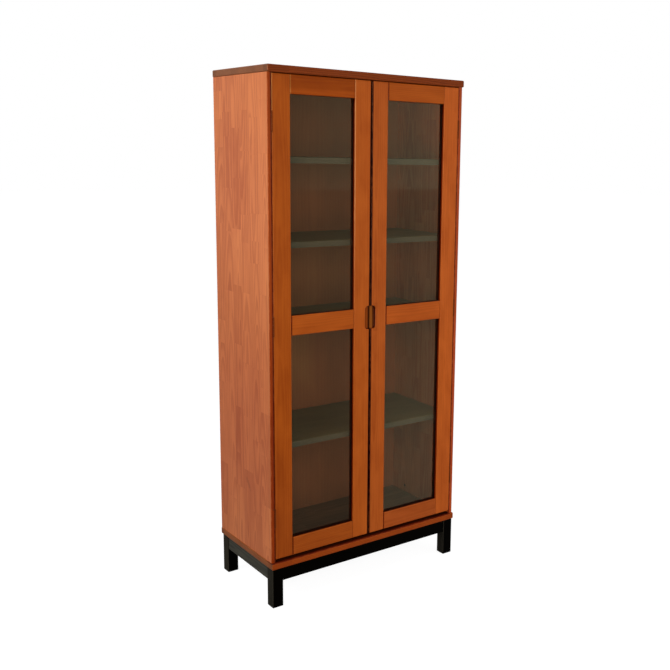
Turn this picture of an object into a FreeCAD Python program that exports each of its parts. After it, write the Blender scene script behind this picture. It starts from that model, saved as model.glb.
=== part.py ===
import FreeCAD, Part
import math
import os

Vector = FreeCAD.Vector

# Bookcase with two glazed doors on a four-legged base.  Millimetres.
# X runs to the right, Y to the back, Z up.  The origin is on the floor, below the
# middle of the case.  Left means the side at negative X, seen from the front.

# ---- carcass -------------------------------------------------------------
width = 800.0            # top and bottom boards, end to end
depth = 400.0            # top and bottom boards, front to back
height = 1834.0          # floor to the top face
board_t = 24.0           # thickness of the top and bottom boards
board_edge_r = 4.0       # their rounded edges
side_t = 14.0            # thickness of a side panel
side_setback = 2.0       # side panel's outer face inside the boards' ends
front_setback = 8.0      # side panels' and doors' fronts behind the boards' front edges
back_setback = 2.0       # side panels' back edges inside the boards' back edges
side_edge_r = 2.5        # rounded front edges of the side panels
back_t = 5.0             # back panel
back_recess = 3.0        # back panel's rear face inside the side panels' back edges
back_lap = 7.0           # width of the rebate that takes the back panel
back_play = 1.0          # gap beside the back panel, in its rebates

# ---- shelves -------------------------------------------------------------
shelf_t = 20.0
shelf_edge_r = 1.5
shelf_front_gap = 3.0    # shelf's front edge behind the closed doors
shelf_play = 1.0         # gap at each end of a loose shelf and behind every shelf
lower_shelf_top = 576.5
middle_shelf_top = 981.5
upper_shelf_top = 1267.5
top_shelf_top = 1547.0
pin_r = 2.5              # shelf support's shank
pin_hole_depth = 9.0
pin_inset = 50.0         # support's axis from the shelf's front and back edges
tongue_l = 9.0           # flat tongue under the shelf
tongue_w = 10.0
tongue_t = 3.0

# ---- joints in the carcass -----------------------------------------------
dowel_r = 3.0
dowel_board_depth = 12.0
dowel_side_depth = 18.0
dowel_shelf_depth = 20.0
dowel_panel_depth = 9.0  # into a side panel from its inner face
dowel_inset = 40.0       # from the side panel's front and back edges
dowel_end_play = 0.2
cam_r = 6.0              # cam lock in the side panel's inner face
cam_depth = 10.0
cam_drop = 24.0          # cam's axis from the board that it holds
cam_inset = 92.0         # from the side panel's front and back edges
cam_slot_depth = 1.0     # screwdriver slot
cam_slot_w = 1.6
bolt_r = 2.4             # cam bolt
bolt_board_depth = 11.0
bolt_collar_r = 3.6
bolt_collar_t = 1.5
hole_play = 0.05         # radial play of dowels, pins, bolts and screws in their holes

# ---- base ----------------------------------------------------------------
base_h = 144.0           # floor to the bottom board's underside
leg_s = 40.0             # square leg
leg_edge_r = 1.5
base_side_inset = 4.0    # legs' outer faces inside the bottom board's ends
base_front_inset = 5.0
base_back_inset = 8.0
rail_h = 49.0
rail_t = 20.0
rail_setback = 3.0       # rail's outer face inside the legs' outer faces
rail_edge_r = 1.0
glide_r = 11.0
glide_t = 3.0
glide_pin_r = 1.5
glide_pin_l = 12.0
base_dowel_r = 4.0
base_dowel_leg_depth = 17.0
base_dowel_rail_depth = 22.0
base_dowel_inset = 12.0  # from the rail's top and bottom
base_screw_r = 2.5
base_screw_head_r = 5.0
base_screw_head_t = 3.0
base_screw_grip = 12.0   # thread in the bottom board
base_pocket_r = 6.0      # pocket below the screw's head
base_pocket_depth = 20.0
base_screw_inset = 120.0 # from the legs, on the long rails

# ---- doors ---------------------------------------------------------------
door_t = 28.0
door_side_gap = 2.0      # door to side panel
door_centre_gap = 4.0    # door to door
door_top_gap = 2.0
door_bottom_gap = 10.0
stile_w = 66.0
top_rail_h = 62.0
mid_rail_h = 68.0
bottom_rail_h = 65.0
mid_rail_drop = 2.0      # middle rail's centre below the door's middle
door_edge_r = 3.0        # rounded front edges of stiles and rails
door_back_r = 1.0        # rounded back edges
tenon_t = 7.0
tenon_l = 25.0
tenon_shoulder = 8.0     # tenon narrower than its rail, at each edge
tenon_setback = 5.0      # tenon behind the door's front face
tenon_play = 0.2
glass_t = 3.0
glass_setback = 14.0     # glass behind the door's front face
glass_play = 1.0         # glass to the rebate's side
rebate_w = 8.0
bead_reveal = 0.5        # bead short of the opening's edge

# Finger pull: a pocket shared by the two meeting stiles.
pull_half_w = 22.0       # from the case's middle to the pocket's wall
pull_h = 84.0
pull_corner_r = 13.0
pull_depth = 9.0
pull_cove_r = 4.0        # rounded foot of the pocket's wall
pull_rim = 1.5           # bevel round the mouth

# ---- hinges --------------------------------------------------------------
hinge_h = 64.0
hinge_inset = 150.0      # outer hinges' centres from the door's ends
hinge_count = 3
leaf_t = 1.6
leaf_w = 17.0            # leaf from the pin's axis to its inner edge
knuckle_r = 2.8
knuckle_count = 5
knuckle_gap = 0.3        # between knuckles, along the pin
knuckle_clear = 0.4      # wood and leaf round a turning knuckle
hinge_pin_r = 1.2
pin_tip_r = 2.2
pin_tip_t = 1.2
running_play = 0.05      # pin in the knuckles
leaf_screw_pitch = 22.0
leaf_screw_r = 1.4
leaf_screw_l = 12.0
leaf_screw_head_r = 2.8
leaf_screw_axis = 9.5    # screws from the pin's axis

# ---- catches -------------------------------------------------------------
catch_l = 46.0
catch_w = 15.0
catch_h = 13.0
catch_inset = 14.0       # from the case's middle
catch_gap = 0.3          # catch to strike plate
catch_screw_pitch = 32.0
strike_l = 38.0
strike_h = 11.0
strike_t = 1.2
strike_drop = 1.5        # strike plate's top edge below the door's top
small_screw_r = 1.3
small_screw_head_r = 2.8
small_screw_head_t = 1.6
small_screw_l = 12.0

# ---- back panel's screws -------------------------------------------------
back_screw_rows = 7
back_screw_inset = 46.0  # from the back panel's top and bottom edges
shelf_screw_count = 5
shelf_screw_inset = 92.0 # from the back panel's side edges

tolerance = 1e-6         # for telling whether two places are the same

# ---- derived planes ------------------------------------------------------
x_board = width / 2
x_out = x_board - side_setback
x_in = x_out - side_t
y_board_front = -depth / 2
y_board_back = depth / 2
y_front = y_board_front + front_setback
y_back = y_board_back - back_setback
y_panel_back = y_back - back_recess
y_panel = y_panel_back - back_t
z_floor = base_h + board_t
z_ceiling = height - board_t
y_door_back = y_front + door_t
y_shelf = y_door_back + shelf_front_gap
y_shelf_back = y_panel - shelf_play
x_door_out = x_in - door_side_gap
x_door_in = door_centre_gap / 2
z_door = z_floor + door_bottom_gap
z_door_top = z_ceiling - door_top_gap
z_mid_rail = (z_door + z_door_top) / 2 - mid_rail_drop
x_pane_in = x_door_in + stile_w
x_pane_out = x_door_out - stile_w
y_glass = y_front + glass_setback
panes = {
    "lower": (z_door + bottom_rail_h, z_mid_rail - mid_rail_h / 2),
    "upper": (z_mid_rail + mid_rail_h / 2, z_door_top - top_rail_h),
}
x_hinge = (x_in + x_door_out) / 2
y_hinge = y_front
first_hinge = z_door + hinge_inset
last_hinge = z_door_top - hinge_inset
hinge_step = (last_hinge - first_hinge) / (hinge_count - 1)
hinge_zs = [first_hinge + hinge_step * i for i in range(hinge_count)]
x_leg = x_board - base_side_inset
y_leg_front = y_board_front + base_front_inset
y_leg_back = y_board_back - base_back_inset
z_rail = base_h - rail_h

X = Vector(1, 0, 0)
Y = Vector(0, 1, 0)
Z = Vector(0, 0, 1)


def box(x0, x1, y0, y1, z0, z1):
    """Block between two corners."""
    return Part.makeBox(x1 - x0, y1 - y0, z1 - z0, Vector(x0, y0, z0))


def rod(start, direction, radius, length):
    """Cylinder from a point along a direction."""
    return Part.makeCylinder(radius, length, start, direction)


def cone(start, direction, r0, r1, length):
    """Truncated cone from a point along a direction."""
    return Part.makeCone(r0, r1, length, start, direction)


def runs_along(edge, axis):
    """True for a straight edge that is parallel to an axis."""
    if not isinstance(edge.Curve, Part.Line):
        return False
    return edge.tangentAt(edge.FirstParameter).cross(axis).Length < tolerance


def edges(shape, axis, **where):
    """Straight edges along an axis whose middles lie at the given x, y or z values."""
    found = []
    for edge in shape.Edges:
        if not runs_along(edge, axis):
            continue
        middle = edge.CenterOfMass
        if all(abs(getattr(middle, key) - value) < tolerance for key, value in where.items()):
            found.append(edge)
    return found


def mirrored(shape):
    """The same shape on the other side of the case's middle plane."""
    return shape.mirror(Vector(0, 0, 0), X)


def fuse(shapes):
    """One solid from touching or overlapping pieces."""
    return shapes[0].multiFuse(shapes[1:]).removeSplitter() if len(shapes) > 1 else shapes[0]


def cut(shape, tools):
    """A shape with every tool taken out of it."""
    return shape.cut(Part.Compound(tools)) if tools else shape


def save(name, solids):
    """Write one sub-part: a solid, or a group of separate solids."""
    group = solids if isinstance(solids, list) else [solids]
    flat = [solid for shape in group for solid in shape.Solids]
    shape = flat[0] if len(flat) == 1 else Part.Compound(flat)
    shape.exportStep(os.path.join("parts", name + ".step"))
    box_size = shape.BoundBox
    print(f"{name:28s} solids {len(flat):3d}  valid {all(s.isValid() for s in flat)}"
          f"  {box_size.XLength:7.1f} {box_size.YLength:7.1f} {box_size.ZLength:7.1f}")


# ---- fasteners and their holes -------------------------------------------

def cap_screw(head, direction, radius, length, head_r, head_t):
    """Flat-headed screw: head's underside at a point, shank along the direction."""
    return fuse([rod(head, direction, radius, length), rod(head, direction * -1, head_r, head_t)])


def sunk_screw(face, direction):
    """Countersunk hinge screw with its head flush at a point on the leaf's face."""
    head = cone(face, direction, leaf_screw_head_r, leaf_screw_r, leaf_t)
    return fuse([head, rod(face, direction, leaf_screw_r, leaf_screw_l)])


def hole(start, direction, radius, length):
    """Room for a fastener of the given radius."""
    return rod(start, direction, radius + hole_play, length)


# ---- carcass joints ------------------------------------------------------

side_mid_y = (y_front + y_back) / 2
dowel_ys = [y_front + dowel_inset, side_mid_y, y_back - dowel_inset]
cam_ys = [y_front + cam_inset, y_back - cam_inset]
shelf_dowel_ys = [y_shelf + pin_inset, y_shelf_back - pin_inset]
x_side_mid = (x_in + x_out) / 2
z_middle_dowel = middle_shelf_top - shelf_t / 2
loose_shelves = [lower_shelf_top, upper_shelf_top, top_shelf_top]
joints = [(z_ceiling, 1), (z_floor, -1)]


def right_dowels(grow, extra):
    """Dowels of the right-hand side panel, or their holes when grown."""
    made = []
    for z, way in joints:
        for y in dowel_ys:
            start = Vector(x_side_mid, y, z - way * (dowel_side_depth + extra))
            length = dowel_side_depth + dowel_board_depth + 2 * extra
            made.append(rod(start, Z * way, dowel_r + grow, length))
    for y in shelf_dowel_ys:
        start = Vector(x_in - dowel_shelf_depth - extra, y, z_middle_dowel)
        length = dowel_shelf_depth + dowel_panel_depth + 2 * extra
        made.append(rod(start, X, dowel_r + grow, length))
    return made


def cam_centre(y, z, way):
    """Middle of a cam, on the side panel's inner face."""
    return Vector(x_in, y, z - way * cam_drop)


def right_cams():
    """Cam locks: discs with a screwdriver slot and a bore for the bolt's tip."""
    made = []
    for z, way in joints:
        for y in cam_ys:
            centre = cam_centre(y, z, way)
            disc = rod(centre, X, cam_r, cam_depth)
            slot = box(x_in, x_in + cam_slot_depth, y - cam_slot_w / 2, y + cam_slot_w / 2,
                       centre.z - cam_r, centre.z + cam_r)
            bore = hole(Vector(x_side_mid, y, centre.z), Z * way, bolt_r, cam_r)
            made.append(cut(disc, [slot, bore]))
    return made


def right_cam_holes():
    """Pockets for the cams and bores for their bolts in the side panel's ends."""
    made = []
    for z, way in joints:
        for y in cam_ys:
            centre = cam_centre(y, z, way)
            made.append(hole(centre, X, cam_r, cam_depth + dowel_end_play))
            made.append(hole(Vector(x_side_mid, y, centre.z), Z * way, bolt_r, cam_drop))
            made.append(rod(Vector(x_side_mid, y, z), Z * -way, bolt_collar_r + hole_play,
                            bolt_collar_t))
    return made


def right_bolts():
    """Cam bolts: threaded into the board, collar at its face, tip in the cam."""
    made = []
    for z, way in joints:
        for y in cam_ys:
            tip = Vector(x_side_mid, y, z - way * (cam_drop - dowel_end_play))
            shank = rod(tip, Z * way, bolt_r, cam_drop - dowel_end_play + bolt_board_depth)
            collar = rod(Vector(x_side_mid, y, z), Z * -way, bolt_collar_r, bolt_collar_t)
            made.append(fuse([shank, collar]))
    return made


def board_holes():
    """Dowel and bolt holes in the top and bottom boards, both sides."""
    made = right_dowels(hole_play, dowel_end_play)
    for z, way in joints:
        for y in cam_ys:
            made.append(hole(Vector(x_side_mid, y, z), Z * way, bolt_r,
                             bolt_board_depth + dowel_end_play))
    return made + [mirrored(shape) for shape in made]


# ---- shelf supports ------------------------------------------------------

def support_places():
    """Axis points of the right-hand shelf supports, on the side panel's inner face."""
    places = []
    for top in loose_shelves:
        for y in (y_shelf + pin_inset, y_shelf_back - pin_inset):
            places.append(Vector(x_in, y, top - shelf_t - tongue_t / 2))
    return places


def support(place):
    """Shelf support: round shank in the side panel and a flat tongue under the shelf."""
    shank = rod(place, X, pin_r, pin_hole_depth - dowel_end_play)
    tongue = box(place.x - tongue_l, place.x, place.y - tongue_w / 2, place.y + tongue_w / 2,
                 place.z - tongue_t / 2, place.z + tongue_t / 2)
    return fuse([shank, tongue])


# ---- hinges --------------------------------------------------------------

knuckle_l = (hinge_h - knuckle_gap * (knuckle_count - 1)) / knuckle_count


def knuckle_span(z, index):
    """Lowest and highest point of one knuckle of the hinge at height z."""
    low = z - hinge_h / 2 + index * (knuckle_l + knuckle_gap)
    return low, low + knuckle_l


def leaf(z, x0, x1, first, clear_x):
    """Right-hand leaf: plate between x0 and x1 with every second knuckle from `first`."""
    plate = box(x0, x1, y_hinge, y_hinge + leaf_w, z - hinge_h / 2, z + hinge_h / 2)
    own = []
    room = []
    for index in range(knuckle_count):
        low, high = knuckle_span(z, index)
        start = Vector(x_hinge, y_hinge, low)
        if index % 2 == first:
            own.append(rod(start, Z, knuckle_r, knuckle_l))
        else:
            start.z -= knuckle_gap
            room.append(rod(start, Z, knuckle_r + knuckle_clear, high - low + 2 * knuckle_gap))
    bore = rod(Vector(x_hinge, y_hinge, z - hinge_h), Z, hinge_pin_r + running_play, 2 * hinge_h)
    made = fuse([cut(plate, room)] + own)
    sinks = [sunk_hole(place, clear_x) for place in leaf_screw_places(z, x0 if clear_x > 0 else x1)]
    return cut(made, [bore] + sinks)


def leaf_screw_places(z, x):
    """Screw axes on a leaf's open face."""
    return [Vector(x, y_hinge + leaf_screw_axis, z + k * leaf_screw_pitch) for k in (-1, 0, 1)]


def sunk_hole(face, way):
    """Countersunk hole through a leaf."""
    return cone(face, X * way, leaf_screw_head_r, leaf_screw_r, leaf_t)


def hinge_pin(z):
    """Pin with a flat button at each end."""
    low = z - hinge_h / 2
    shank = rod(Vector(x_hinge, y_hinge, low - knuckle_gap), Z, hinge_pin_r,
                hinge_h + 2 * knuckle_gap)
    foot = rod(Vector(x_hinge, y_hinge, low - knuckle_gap), Z * -1, pin_tip_r, pin_tip_t)
    head = rod(Vector(x_hinge, y_hinge, low + hinge_h + knuckle_gap), Z, pin_tip_r, pin_tip_t)
    return fuse([shank, foot, head])


def knuckle_room():
    """Round notch in the wood beside every knuckle, coaxial with its pin."""
    reach = hinge_h / 2 + knuckle_gap + pin_tip_t + knuckle_clear
    return [rod(Vector(x_hinge, y_hinge, z - reach), Z, knuckle_r + knuckle_clear, 2 * reach)
            for z in hinge_zs]


def leaf_seats(x0, x1):
    """Shallow recesses that the leaves lie in."""
    return [box(x0, x1, y_hinge, y_hinge + leaf_w, z - hinge_h / 2, z + hinge_h / 2)
            for z in hinge_zs]


def leaf_screws(x, way):
    """All screws of the right-hand leaves on one face."""
    return [sunk_screw(place, X * way) for z in hinge_zs for place in leaf_screw_places(z, x)]


def leaf_screw_holes(x, way):
    """Their pilot holes in the wood."""
    return [hole(place, X * way, leaf_screw_r, leaf_screw_l + dowel_end_play)
            for z in hinge_zs for place in leaf_screw_places(z, x)]


# ---- boards, sides, back -------------------------------------------------

def rounded_board(z0):
    """Top or bottom board, rounded on all its edges."""
    board = box(-x_board, x_board, y_board_front, y_board_back, z0, z0 + board_t)
    return board.makeFillet(board_edge_r, board.Edges)


def right_side():
    """Side panel with its rebate, hinge recesses and every hole."""
    panel = box(x_in, x_out, y_front, y_back, z_floor, z_ceiling)
    round_edges = edges(panel, Z, y=y_front)
    panel = panel.makeFillet(side_edge_r, round_edges)
    rebate = box(x_in, x_in + back_lap, y_panel, y_back, z_floor, z_ceiling)
    tools = [rebate] + right_dowels(hole_play, dowel_end_play) + right_cam_holes()
    tools += [hole(place, X, pin_r, pin_hole_depth) for place in support_places()]
    tools += knuckle_room() + leaf_seats(x_in, x_in + leaf_t)
    tools += leaf_screw_holes(x_in, 1)
    tools += [hole(place, Y * -1, small_screw_r, small_screw_l) for place in side_back_screws()]
    return cut(panel, tools)


def side_back_screws():
    """Back-panel screws into the right-hand side panel, heads on the panel's rear face."""
    low = z_floor + back_screw_inset
    step = (z_ceiling - back_screw_inset - low) / (back_screw_rows - 1)
    x = x_in + back_lap / 2
    return [Vector(x, y_panel_back, low + step * i) for i in range(back_screw_rows)]


def shelf_back_screws():
    """Back-panel screws into the fixed middle shelf."""
    low = -x_in + shelf_screw_inset
    step = -2 * low / (shelf_screw_count - 1)
    return [Vector(low + step * i, y_panel_back, z_middle_dowel) for i in range(shelf_screw_count)]


def back_panel():
    """Thin panel in the rebates, from the bottom board to the top board."""
    x = x_in + back_lap - back_play
    panel = box(-x, x, y_panel, y_panel_back, z_floor, z_ceiling)
    places = side_back_screws()
    tools = [hole(place, Y * -1, small_screw_r, back_t) for place in places]
    tools += [mirrored(tool) for tool in tools]
    tools += [hole(place, Y * -1, small_screw_r, back_t) for place in shelf_back_screws()]
    return cut(panel, tools)


def back_screw(place):
    """Screw through the back panel."""
    return cap_screw(place, Y * -1, small_screw_r, small_screw_l,
                     small_screw_head_r, small_screw_head_t)


def shelf(top, half_width):
    """Shelf with softened front edges."""
    plank = box(-half_width, half_width, y_shelf, y_shelf_back, top - shelf_t, top)
    return plank.makeFillet(shelf_edge_r, edges(plank, X, y=y_shelf))


def middle_shelf():
    """Fixed shelf: reaches the side panels and the back panel, with its holes."""
    plank = box(-x_in, x_in, y_shelf, y_panel, middle_shelf_top - shelf_t, middle_shelf_top)
    plank = plank.makeFillet(shelf_edge_r, edges(plank, X, y=y_shelf))
    tools = [hole(Vector(x_in - dowel_shelf_depth - dowel_end_play, y, z_middle_dowel), X,
                  dowel_r, dowel_shelf_depth + dowel_end_play) for y in shelf_dowel_ys]
    tools += [mirrored(tool) for tool in tools]
    tools += [hole(place, Y * -1, small_screw_r, small_screw_l) for place in shelf_back_screws()]
    return cut(plank, tools)


# ---- base ----------------------------------------------------------------

base_dowel_zs = [z_rail + base_dowel_inset, base_h - base_dowel_inset]
x_leg_in = x_leg - leg_s
rail_mid = rail_setback + rail_t / 2
x_side_rail = x_leg - rail_mid


def leg(y0):
    """Right-hand leg with softened edges, standing on its glide."""
    post = box(x_leg_in, x_leg, y0, y0 + leg_s, glide_t, base_h)
    return post.makeFillet(leg_edge_r, edges(post, Z))


def right_base_dowels(grow, extra):
    """Dowels between the right-hand legs and the rails, or their holes when grown."""
    made = []
    leg_part = base_dowel_leg_depth + extra
    length = leg_part + base_dowel_rail_depth + extra
    for z in base_dowel_zs:
        for y in (y_leg_front + rail_mid, y_leg_back - rail_mid):
            made.append(rod(Vector(x_leg_in + leg_part, y, z), X * -1, base_dowel_r + grow, length))
        front = Vector(x_side_rail, y_leg_front + leg_s - leg_part, z)
        back = Vector(x_side_rail, y_leg_back - leg_s + leg_part, z)
        made.append(rod(front, Y, base_dowel_r + grow, length))
        made.append(rod(back, Y * -1, base_dowel_r + grow, length))
    return made


def glide(y0):
    """Round glide with a pin up into the leg."""
    centre = Vector(x_leg - leg_s / 2, y0 + leg_s / 2, 0)
    top = centre + Z * glide_t
    return fuse([rod(centre, Z, glide_r, glide_t), rod(top, Z, glide_pin_r, glide_pin_l)])


def glide_hole(y0):
    """Hole for the glide's pin."""
    place = Vector(x_leg - leg_s / 2, y0 + leg_s / 2, glide_t)
    return hole(place, Z, glide_pin_r, glide_pin_l + dowel_end_play)


def base_screw_places():
    """Screw axes at the underside of the rails."""
    x = x_leg_in - base_screw_inset
    ys = (y_leg_front + rail_mid, y_leg_back - rail_mid)
    places = [Vector(sign * x, y, z_rail) for sign in (-1, 1) for y in ys]
    middle = (y_leg_front + y_leg_back) / 2
    places += [Vector(sign * x_side_rail, middle, z_rail) for sign in (-1, 1)]
    return places


def base_screw(place):
    """Screw up through a rail into the bottom board, its head at the pocket's end."""
    seat = place + Z * base_pocket_depth
    head = rod(seat, Z * -1, base_screw_head_r, base_screw_head_t)
    length = rail_h - base_pocket_depth + base_screw_grip
    return fuse([head, rod(seat, Z, base_screw_r, length)])


def base_screw_room(place):
    """Pocket, through hole and pilot hole of one base screw."""
    seat = place + Z * base_pocket_depth
    length = rail_h - base_pocket_depth + base_screw_grip + dowel_end_play
    return [rod(place, Z, base_pocket_r, base_pocket_depth), hole(seat, Z, base_screw_r, length)]


base_screw_tools = [tool for place in base_screw_places() for tool in base_screw_room(place)]
right_dowel_holes = right_base_dowels(hole_play, dowel_end_play)
base_dowel_holes = right_dowel_holes + [mirrored(tool) for tool in right_dowel_holes]


def long_rail(y0):
    """Front or back rail between two legs."""
    rail = box(-x_leg_in, x_leg_in, y0, y0 + rail_t, z_rail, base_h)
    rail = rail.makeFillet(rail_edge_r, edges(rail, X, z=z_rail))
    return cut(rail, base_screw_tools + base_dowel_holes)


def right_rail():
    """Side rail between the front and back legs."""
    x0 = x_side_rail - rail_t / 2
    rail = box(x0, x0 + rail_t, y_leg_front + leg_s, y_leg_back - leg_s, z_rail, base_h)
    rail = rail.makeFillet(rail_edge_r, edges(rail, Y, z=z_rail))
    return cut(rail, base_screw_tools + base_dowel_holes)


# ---- doors: right-hand door, the left one is its mirror image ------------

def pane_box(span, grow, y0, y1):
    """Block over one pane's opening, grown all round."""
    low, high = span
    return box(x_pane_in - grow, x_pane_out + grow, y0, y1, low - grow, high + grow)


def rebates():
    """Steps at the back of the frame that take the glass and its beads."""
    return [pane_box(span, rebate_w, y_glass, y_door_back) for span in panes.values()]


def tenon_block(z0, z1, grow):
    """Tenons of one rail: a flat bar reaching into both stiles, or their mortises."""
    reach = tenon_l + grow
    y0 = y_front + tenon_setback - grow
    return box(x_pane_in - reach, x_pane_out + reach, y0, y0 + tenon_t + 2 * grow,
               z0 + tenon_shoulder - grow, z1 - tenon_shoulder + grow)


rail_spans = {
    "bottom_rail": (z_door, z_door + bottom_rail_h),
    "mid_rail": (z_mid_rail - mid_rail_h / 2, z_mid_rail + mid_rail_h / 2),
    "top_rail": (z_door_top - top_rail_h, z_door_top),
}


def soften_member(member):
    """Round a stile's or rail's edges on both faces: more at the front than at the back."""
    for y, radius in ((y_front, door_edge_r), (y_door_back, door_back_r)):
        member = member.makeFillet(radius, edges(member, X, y=y) + edges(member, Z, y=y))
    return member


def stile(x0, x1):
    """Upright of the door frame with its mortises."""
    post = soften_member(box(x0, x1, y_front, y_door_back, z_door, z_door_top))
    mortises = [tenon_block(z0, z1, tenon_play) for z0, z1 in rail_spans.values()]
    return cut(post, rebates() + mortises)


def hinge_stile():
    """Outer upright with the door leaves' recesses."""
    tools = knuckle_room() + leaf_seats(x_door_out - leaf_t, x_door_out)
    tools += leaf_screw_holes(x_door_out, -1)
    return cut(stile(x_pane_out, x_door_out), tools)


def pull_outline(grow, y):
    """Rounded rectangle of the finger pull in a plane of constant Y."""
    x = pull_half_w + grow
    z0 = z_mid_rail - pull_h / 2 - grow
    z1 = z_mid_rail + pull_h / 2 + grow
    r = pull_corner_r + grow
    k = r * (1 - math.sqrt(0.5))

    def point(px, pz):
        return Vector(px, y, pz)

    corners = [(x, z1, -1, -1), (x, z0, -1, 1), (-x, z0, 1, 1), (-x, z1, 1, -1)]
    pieces = []
    last = None
    for index, (cx, cz, sx, sz) in enumerate(corners):
        on_side = point(cx, cz + sz * r)
        on_end = point(cx + sx * r, cz)
        start, end = (on_end, on_side) if index % 2 == 0 else (on_side, on_end)
        if last is not None:
            pieces.append(Part.LineSegment(last, start).toShape())
        pieces.append(Part.Arc(start, point(cx + sx * k, cz + sz * k), end).toShape())
        last = end
    pieces.append(Part.LineSegment(last, pieces[0].Vertexes[0].Point).toShape())
    return Part.Wire(pieces)


def pull_pocket():
    """Tool for the finger pull: straight walls, a coved floor and a bevelled mouth."""
    wire = pull_outline(0, y_front - pull_rim)
    body = Part.Face(wire).extrude(Y * (pull_rim + pull_depth))
    floor_y = y_front + pull_depth
    foot = [edge for edge in body.Edges if abs(edge.BoundBox.YMin - floor_y) < tolerance]
    body = body.makeFillet(pull_cove_r, foot)
    mouth = Part.makeLoft([pull_outline(pull_rim, y_front), pull_outline(0, y_front + pull_rim)],
                          True, True)
    return [body, mouth]


def meeting_stile():
    """Inner upright with half of the finger pull and the strike screw's hole."""
    return cut(stile(x_door_in, x_pane_in), pull_pocket() + strike_screw_holes())


def door_rail(name):
    """Cross member with a tenon at each end."""
    z0, z1 = rail_spans[name]
    bar = soften_member(box(x_pane_in, x_pane_out, y_front, y_door_back, z0, z1))
    bar = fuse([bar, tenon_block(z0, z1, 0)])
    return cut(bar, rebates())


def glass_pane(name):
    """Sheet of glass in its rebate."""
    return pane_box(panes[name], rebate_w - glass_play, y_glass, y_glass + glass_t)


def beads(name):
    """Four strips that hold one sheet of glass in its rebate."""
    low, high = panes[name]
    y0 = y_glass + glass_t
    z0, z1 = low - rebate_w, high + rebate_w
    x0, x1 = x_pane_in - rebate_w, x_pane_out + rebate_w
    w = rebate_w - bead_reveal
    strips = [
        box(x0, x1, y0, y_door_back, z0, z0 + w),
        box(x0, x1, y0, y_door_back, z1 - w, z1),
        box(x0, x0 + w, y0, y_door_back, z0 + w, z1 - w),
        box(x1 - w, x1, y0, y_door_back, z0 + w, z1 - w),
    ]
    return strips


# ---- catches -------------------------------------------------------------

y_catch = y_door_back + strike_t + catch_gap
x_catch = catch_inset + catch_l / 2
z_strike = z_door_top - strike_drop - strike_h / 2
y_catch_screw = y_catch + catch_w / 2


def strike_screw_place():
    """Strike plate's screw, on the plate's rear face."""
    return Vector(x_catch, y_door_back + strike_t, z_strike)


def strike_screw_holes():
    """Pilot hole behind the strike plate."""
    place = strike_screw_place()
    return [hole(place, Y * -1, small_screw_r, small_screw_l + dowel_end_play)]


def strike_plate():
    """Steel plate on the back of the meeting stile, countersunk for its screw."""
    x0 = x_catch - strike_l / 2
    z0 = z_strike - strike_h / 2
    plate = box(x0, x0 + strike_l, y_door_back, y_door_back + strike_t, z0, z0 + strike_h)
    plate = plate.makeFillet(strike_t, edges(plate, Y))
    sink = cone(strike_screw_place(), Y * -1, small_screw_head_r, small_screw_r, strike_t)
    return cut(plate, [sink])


def strike_screw():
    """Countersunk screw of the strike plate."""
    place = strike_screw_place()
    head = cone(place, Y * -1, small_screw_head_r, small_screw_r, strike_t)
    return fuse([head, rod(place, Y * -1, small_screw_r, small_screw_l)])


def catch_screw_places():
    """Catch screws' heads, on the catch's underside."""
    z = z_ceiling - catch_h
    xs = (x_catch - catch_screw_pitch / 2, x_catch + catch_screw_pitch / 2)
    return [Vector(x, y_catch_screw, z) for x in xs]


def catch_body():
    """Magnetic catch under the top board, with two sunk screw holes."""
    x0 = x_catch - catch_l / 2
    block = box(x0, x0 + catch_l, y_catch, y_catch + catch_w, z_ceiling - catch_h, z_ceiling)
    block = block.makeFillet(small_screw_head_t, edges(block, Z))
    tools = []
    for place in catch_screw_places():
        tools.append(rod(place, Z, small_screw_head_r + hole_play, small_screw_head_t))
        tools.append(hole(place, Z, small_screw_r, catch_h))
    return cut(block, tools)


def catch_screw(place):
    """Screw up through the catch into the top board."""
    seat = place + Z * small_screw_head_t
    length = catch_h - small_screw_head_t + small_screw_l
    return cap_screw(seat, Z, small_screw_r, length, small_screw_head_r, small_screw_head_t)


def catch_holes():
    """Pilot holes of the catches in the top board, both sides."""
    tools = [hole(place, Z, small_screw_r, catch_h + small_screw_l + dowel_end_play)
             for place in catch_screw_places()]
    return tools + [mirrored(tool) for tool in tools]


# ---- write every sub-part ------------------------------------------------

def both(shapes):
    """Shapes of the right-hand side with their mirror images."""
    return shapes + [mirrored(shape) for shape in shapes]


def save_carcass():
    """Boards, sides, back, shelves and what joins them."""
    save("top_board", cut(rounded_board(z_ceiling), board_holes() + catch_holes()))
    save("bottom_board", cut(rounded_board(base_h), board_holes() + base_screw_tools))
    panel = right_side()
    save("side_panel_right", panel)
    save("side_panel_left", mirrored(panel))
    save("back_panel", back_panel())
    screws = both([back_screw(place) for place in side_back_screws()])
    save("back_panel_screws", screws + [back_screw(place) for place in shelf_back_screws()])
    save("shelf_lower", shelf(lower_shelf_top, x_in - shelf_play))
    save("shelf_middle", middle_shelf())
    save("shelf_upper", shelf(upper_shelf_top, x_in - shelf_play))
    save("shelf_top", shelf(top_shelf_top, x_in - shelf_play))
    save("shelf_supports", both([support(place) for place in support_places()]))
    save("panel_dowels", both(right_dowels(0, 0)))
    save("cam_bolts", both(right_bolts()))
    save("cam_locks", both(right_cams()))


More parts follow.
